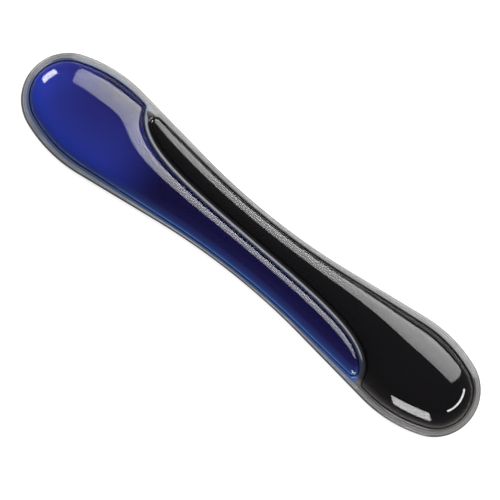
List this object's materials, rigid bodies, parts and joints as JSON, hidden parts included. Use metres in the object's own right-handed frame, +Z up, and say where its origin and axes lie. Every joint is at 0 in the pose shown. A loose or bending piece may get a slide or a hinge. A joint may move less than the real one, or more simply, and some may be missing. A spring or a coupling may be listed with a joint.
{
  "type": "gel wrist rest",
  "caption": "Waisted gel wrist rest for a keyboard: blue and smoke-coloured gel cushions interlock along an S-shaped seam under clear film on a flat non-slip base.",
  "frame": {"origin": "on the desk, under the middle of the rest", "axes": "+X along the length towards the smoke-coloured end, +Y away from the user towards the keyboard, +Z up"},
  "size_m": [0.467, 0.0888, 0.021],
  "materials": {
    "pad_rubber": "matte, finely ribbed",
    "adhesive_film": "satin",
    "smoky_plastic": "gloss, smoky",
    "backing_film": "satin",
    "blue_gel": "wet gloss, deep blue",
    "smoke_gel": "wet gloss, smoke black",
    "clear_film": "clear gloss",
    "white_ink": "satin print"
  },
  "bodies": {
    "root": {"non_slip_pad": "pad_rubber", "pad_adhesive": "adhesive_film", "base_plate": "smoky_plastic", "backing_film": "backing_film", "blue_gel": "blue_gel", "smoke_gel": "smoke_gel", "clear_skin": "clear_film", "end_mark": "white_ink"}
  },
  "joints": []
}
